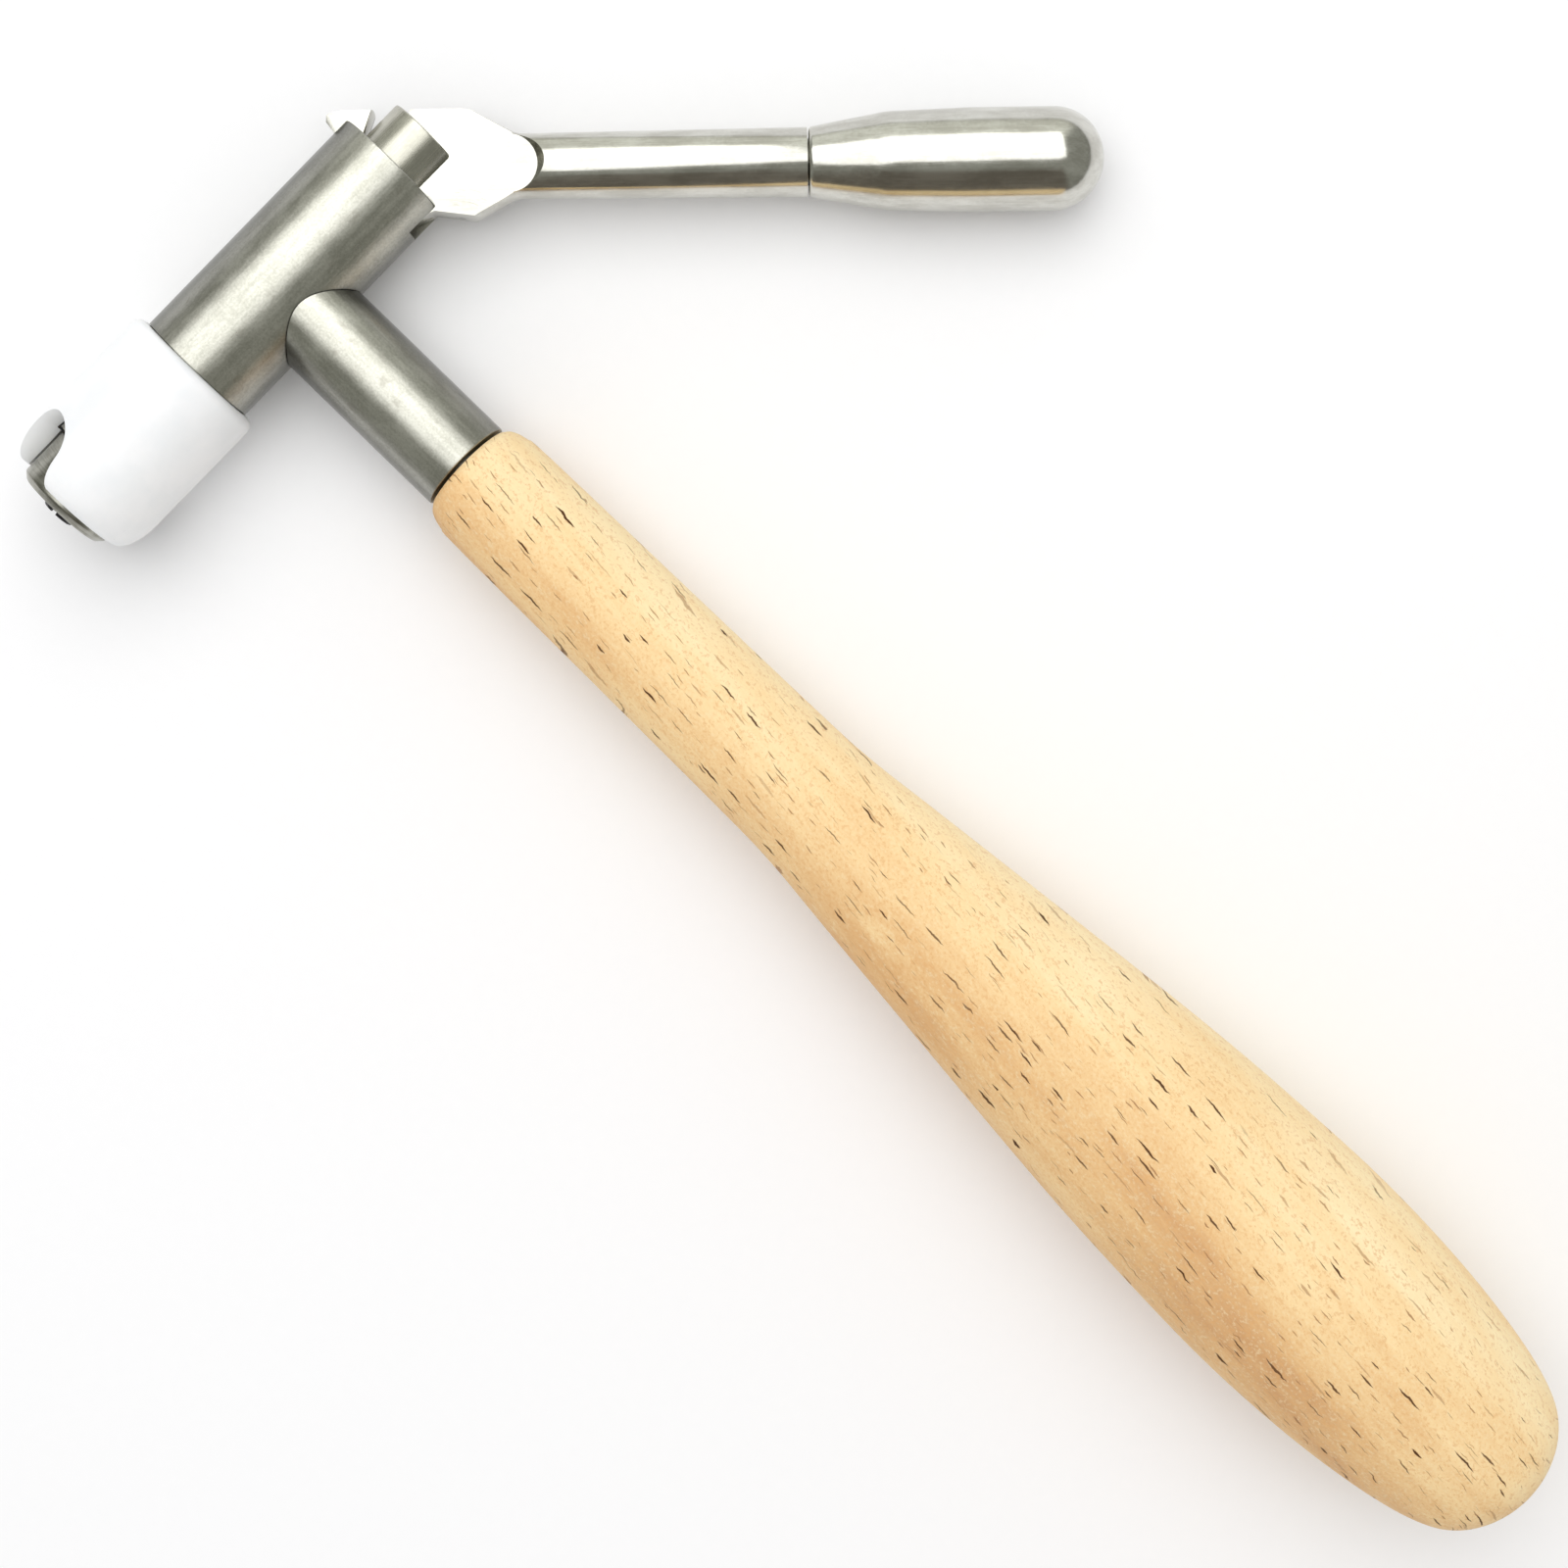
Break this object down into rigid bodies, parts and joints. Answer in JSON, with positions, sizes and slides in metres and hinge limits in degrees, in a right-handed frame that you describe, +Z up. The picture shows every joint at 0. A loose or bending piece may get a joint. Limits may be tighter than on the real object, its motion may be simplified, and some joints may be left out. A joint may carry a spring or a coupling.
{
  "type": "watch movement lever puller",
  "caption": "Hand-held puller for watch work: steel crosspiece head with a squeeze lever, a split collet in a white nose cap, and a turned wooden handle.",
  "frame": {"origin": "centre of the tool's footprint, on the bench it lies on", "axes": "+X from the head along the handle to its butt, +Y from the nose cap to the lever's side, +Z up from the bench"},
  "size_m": [0.1416, 0.0782, 0.0202],
  "materials": {
    "satin_steel": "bead blasted, satin",
    "polished_steel": "polished steel with fine lines",
    "turned_steel": "fine turned",
    "spring_steel": "bright drawn wire",
    "black_oxide": "black oxide, worn",
    "brass": "turned",
    "white_plastic": "machined, satin",
    "beech": "turned and oiled"
  },
  "bodies": {
    "body": {"head_tube": "satin_steel", "stem_tube": "satin_steel", "handle_tang": "turned_steel", "handle_grip": "beech", "guide_bush": "brass", "bush_clip": "spring_steel", "return_spring": "spring_steel", "sleeve_spring": "spring_steel"},
    "lever": {"lever_arm": "polished_steel", "lever_grip": "polished_steel"},
    "draw": {"draw_rod": "polished_steel", "lever_pin": "turned_steel", "lock_nut": "brass", "collet_holder": "turned_steel", "collet": "black_oxide"},
    "sleeve": {"pressure_sleeve": "turned_steel", "sleeve_ring": "spring_steel"},
    "cap": {"nose_cap": "white_plastic"}
  },
  "joints": [
    {"name": "lever_rock", "type": "hinge", "parent": "body", "child": "lever", "pos_m": [-0.06084, -0.00413, 0.0053], "axis": [0.0407, -0.0596, -0.9974], "range_deg": [0, 32], "stiffness_Nm_per_rad": 0.027, "springref_deg": -57.3},
    {"name": "draw_slide", "type": "slide", "parent": "body", "child": "draw", "axis": [0.0024, 0.9982, -0.0596], "range_m": [0, 0.00204], "deforming": ["return_spring"]},
    {"name": "sleeve_slide", "type": "slide", "parent": "body", "child": "sleeve", "axis": [0.0024, 0.9982, -0.0596], "range_m": [0, 0.002], "stiffness_N_per_m": 1000, "springref_m": -0.002, "deforming": ["sleeve_spring"]},
    {"name": "cap_swivel", "type": "hinge", "parent": "body", "child": "cap", "pos_m": [-0.06456, -0.01406, 0.00574], "axis": [0.0024, 0.9982, -0.0596], "continuous": true}
  ],
  "couplings": [
    {"joint": "draw_slide", "follows": "lever_rock", "m_per_rad": 0.003647}
  ]
}
